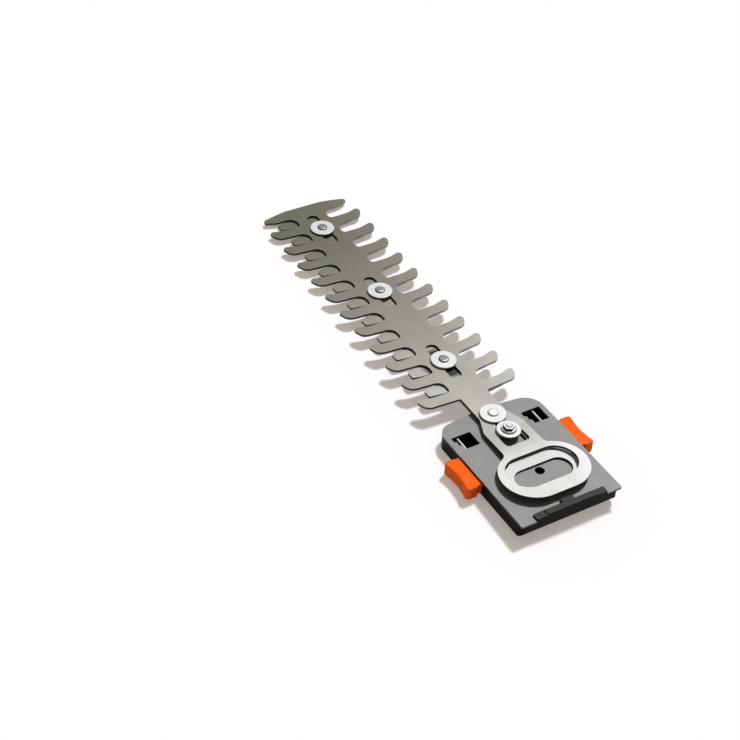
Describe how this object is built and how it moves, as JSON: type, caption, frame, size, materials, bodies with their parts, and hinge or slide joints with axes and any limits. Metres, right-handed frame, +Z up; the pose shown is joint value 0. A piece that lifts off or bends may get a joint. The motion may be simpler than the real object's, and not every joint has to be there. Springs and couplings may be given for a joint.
{
  "type": "hedge trimmer blade",
  "caption": "Shrub blade for a hand-held trimmer: two toothed steel blades slide on each other on a clip-on base with a release button on each side.",
  "frame": {"origin": "on the drive axis, where it meets the underside of the housing", "axes": "+X from the drive axis to the blade's tip, +Y to the left seen from above, +Z up through the blades"},
  "size_m": [0.2534, 0.0706, 0.0154],
  "materials": {
    "blade_steel": "satin",
    "zinc_steel": "satin",
    "rivet_steel": "satin",
    "fastener_steel": "satin",
    "plate_steel": "satin",
    "spring_steel": "satin",
    "black_plastic": "fine texture",
    "orange_plastic": "satin"
  },
  "bodies": {
    "base": {"housing": "black_plastic", "cover_plate": "plate_steel", "latch_spring": "spring_steel", "front_guide_rivet": "zinc_steel", "front_guide_bush": "zinc_steel", "front_guide_washer": "zinc_steel", "rear_guide_screw": "fastener_steel", "rear_guide_bush": "zinc_steel", "rear_guide_washer": "zinc_steel", "rear_guide_nut": "fastener_steel"},
    "upper_cutter": {"upper_blade": "blade_steel"},
    "lower_cutter": {"lower_blade": "blade_steel", "blade_rivet_tip": "rivet_steel", "blade_rivet_middle": "rivet_steel", "blade_rivet_root": "rivet_steel", "blade_washer_tip": "zinc_steel", "blade_washer_middle": "zinc_steel", "blade_washer_root": "zinc_steel"},
    "left_release": {"left_button": "orange_plastic"},
    "right_release": {"right_button": "orange_plastic"}
  },
  "joints": [
    {"name": "upper_blade_slide", "type": "slide", "parent": "base", "child": "upper_cutter", "axis": [1, 0, 0], "range_m": [-0.0025, 0.0045]},
    {"name": "lower_blade_slide", "type": "slide", "parent": "base", "child": "lower_cutter", "axis": [1, 0, 0], "range_m": [-0.0005, 0.0065]},
    {"name": "left_button_press", "type": "slide", "parent": "base", "child": "left_release", "axis": [0, -1, 0], "range_m": [0, 0.0025], "stiffness_N_per_m": 2000, "springref_m": -0.0005, "deforming": ["latch_spring"]},
    {"name": "right_button_press", "type": "slide", "parent": "base", "child": "right_release", "axis": [0, 1, 0], "range_m": [0, 0.0025], "stiffness_N_per_m": 2000, "springref_m": -0.0005, "deforming": ["latch_spring"]}
  ]
}
